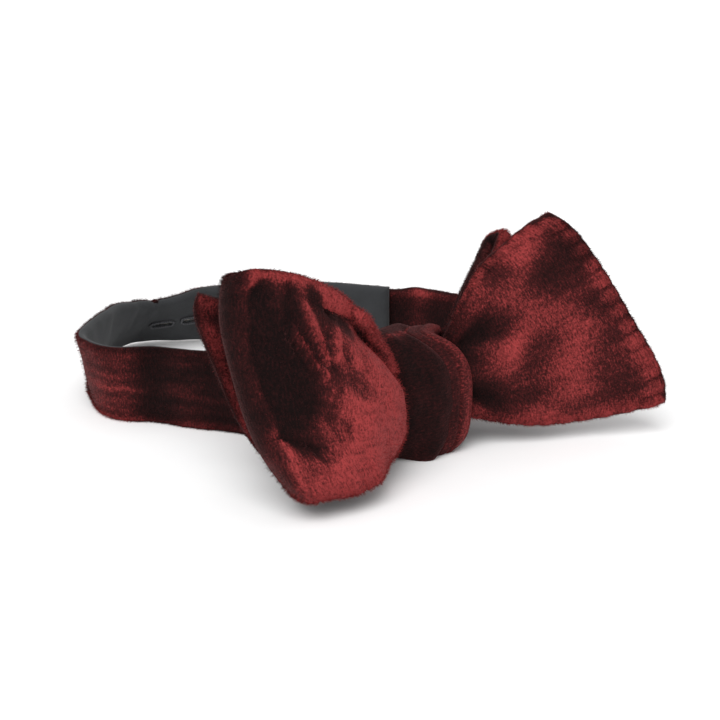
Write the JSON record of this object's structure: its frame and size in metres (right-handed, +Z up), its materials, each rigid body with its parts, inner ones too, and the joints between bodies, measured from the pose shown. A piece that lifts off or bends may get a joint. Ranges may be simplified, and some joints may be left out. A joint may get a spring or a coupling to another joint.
{
  "type": "bow tie",
  "caption": "Self-tied butterfly bow tie in velvet with a lined neckband closed by a hook in buttonhole slots.",
  "frame": {"origin": "middle of the knot's flat foot, on the surface that the bow tie lies on", "axes": "+Z up, +X the bow's right seen from the front, +Y from the bow back through the neck loop"},
  "size_m": [0.1478, 0.1694, 0.0706],
  "materials": {
    "face_velvet": "crushed silk velvet, deep wine red",
    "back_velvet": "velvet in shade, deep wine red",
    "interlining": "woven wool and cotton interlining",
    "charcoal_lining": "matt charcoal twill lining",
    "slot_thread": "whipped charcoal thread and ribbon",
    "hook_metal": "blackened stamped steel"
  },
  "bodies": {
    "knot": {"knot_wrap_velvet": "face_velvet", "knot_wrap_interlining": "interlining", "knot_cuff_velvet": "face_velvet", "knot_core_crossing": "back_velvet"},
    "neckband": {"left_band_velvet": "face_velvet", "left_band_interlining": "interlining", "left_band_lining": "charcoal_lining", "right_band_outer_velvet": "face_velvet", "right_band_interlining": "interlining", "right_band_inner_velvet": "back_velvet", "slot_stitching_1": "slot_thread", "slot_stitching_2": "slot_thread", "slot_stitching_3": "slot_thread", "slot_stitching_4": "slot_thread", "slot_stitching_5": "slot_thread", "slot_stitching_6": "slot_thread", "slot_stitching_7": "slot_thread", "hook_loop_tab": "slot_thread"},
    "hook": {"t_hook": "hook_metal"},
    "left_loop": {"left_loop_outer_velvet": "face_velvet", "left_loop_interlining": "interlining", "left_loop_inner_velvet": "back_velvet"},
    "left_end": {"left_end_front_velvet": "face_velvet", "left_end_interlining": "interlining", "left_end_back_velvet": "back_velvet"},
    "right_end": {"right_end_front_velvet": "face_velvet", "right_end_interlining": "interlining", "right_end_back_velvet": "back_velvet"},
    "right_loop": {"right_loop_outer_velvet": "face_velvet", "right_loop_interlining": "interlining", "right_loop_inner_velvet": "back_velvet"}
  },
  "joints": [
    {"name": "neckband_lift", "type": "hinge", "parent": "knot", "child": "neckband", "pos_m": [0, 0.008, 0.022], "axis": [1, 0, 0], "range_deg": [0, 12]},
    {"name": "t_hook_swing", "type": "hinge", "parent": "neckband", "child": "hook", "pos_m": [0.0296, 0.0967, 0.0129], "axis": [0, 0, 1], "range_deg": [0, 16]},
    {"name": "left_loop_flex", "type": "hinge", "parent": "knot", "child": "left_loop", "pos_m": [-0.0144, -0.005, 0.02], "axis": [0, 0, 1], "range_deg": [0, 10], "stiffness_Nm_per_rad": 0.02},
    {"name": "left_end_flex", "type": "hinge", "parent": "knot", "child": "left_end", "pos_m": [-0.0144, 0.0017, 0.02], "axis": [0, 0, -1], "range_deg": [0, 10], "stiffness_Nm_per_rad": 0.02},
    {"name": "right_end_flex", "type": "hinge", "parent": "knot", "child": "right_end", "pos_m": [0.0085, -0.0055, 0.02], "axis": [0, 0, -1], "range_deg": [0, 10], "stiffness_Nm_per_rad": 0.02},
    {"name": "right_loop_flex", "type": "hinge", "parent": "knot", "child": "right_loop", "pos_m": [0.0085, 0.0006, 0.02], "axis": [0, 0, 1], "range_deg": [0, 10], "stiffness_Nm_per_rad": 0.02}
  ]
}
